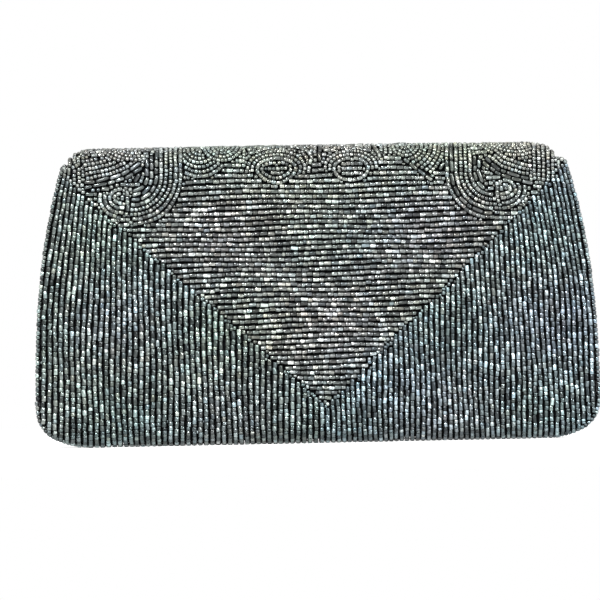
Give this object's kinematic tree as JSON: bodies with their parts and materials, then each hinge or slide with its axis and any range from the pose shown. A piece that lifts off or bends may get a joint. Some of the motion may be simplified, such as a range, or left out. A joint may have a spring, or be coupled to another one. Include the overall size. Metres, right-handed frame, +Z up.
{
  "type": "kiss lock frame purse",
  "caption": "Beaded evening clutch on a flat base, with a hinged metal frame, a kiss lock and a fold-over flap that covers them.",
  "frame": {"origin": "middle of the flat base that the purse stands on", "axes": "+X across the width, +Y towards the side that the flap hangs on, +Z up through the fold"},
  "size_m": [0.232, 0.0274, 0.1225],
  "materials": {
    "beads": "cut glass beads in a gunmetal finish, sewn in rows on cloth",
    "satin": "dark grey satin",
    "buckram": "stiff woven buckram",
    "board": "grey card",
    "frame_metal": "polished gold-tone metal",
    "lock_metal": "polished gold-tone metal",
    "paper_cord": "twisted paper"
  },
  "bodies": {
    "purse_body": {"back_panel": "beads", "back_buckram": "buckram", "back_lining": "satin", "front_panel_lower": "beads", "front_buckram_lower": "buckram", "front_lining_lower": "satin", "front_bend_strip": "satin", "left_gusset": "satin", "right_gusset": "satin", "base_panel": "beads", "base_board": "board", "base_lining": "satin", "slip_pocket": "satin", "frame_back": "frame_metal", "cord_back": "paper_cord", "lock_ball_back": "lock_metal", "left_hinge_pin": "lock_metal", "right_hinge_pin": "lock_metal"},
    "front_frame_half": {"frame_front": "frame_metal", "cord_front": "paper_cord", "lock_ball_front": "lock_metal", "front_panel_upper": "satin", "front_lining_upper": "satin"},
    "fold_back": {"fold_back_cover": "beads", "fold_back_lining": "satin"},
    "fold_front": {"fold_front_cover": "beads", "fold_front_lining": "satin"},
    "flap": {"flap_cover": "beads", "flap_stiffener": "buckram", "flap_lining": "satin"}
  },
  "joints": [
    {"name": "frame_hinge", "type": "hinge", "parent": "purse_body", "child": "front_frame_half", "pos_m": [0, 0, 0.072], "axis": [-1, 0, 0], "range_deg": [0, 42.9], "deforming": ["front_bend_strip"]},
    {"name": "flap_back_crease", "type": "hinge", "parent": "purse_body", "child": "fold_back", "pos_m": [0, -0.006, 0.11882], "axis": [1, 0, 0], "range_deg": [0, 57.3]},
    {"name": "flap_top_crease", "type": "hinge", "parent": "fold_back", "child": "fold_front", "pos_m": [0, 0.00057, 0.1225], "axis": [1, 0, 0], "range_deg": [0, 57.3]},
    {"name": "flap_front_crease", "type": "hinge", "parent": "fold_front", "child": "flap", "pos_m": [0, 0.00721, 0.11896], "axis": [1, 0, 0], "range_deg": [0, 57.3]}
  ],
  "couplings": [
    {"joint": "flap_back_crease", "follows": "frame_hinge", "ratio": 1.3333},
    {"joint": "flap_top_crease", "follows": "frame_hinge", "ratio": 1.3333},
    {"joint": "flap_front_crease", "follows": "frame_hinge", "ratio": 1.3333}
  ]
}
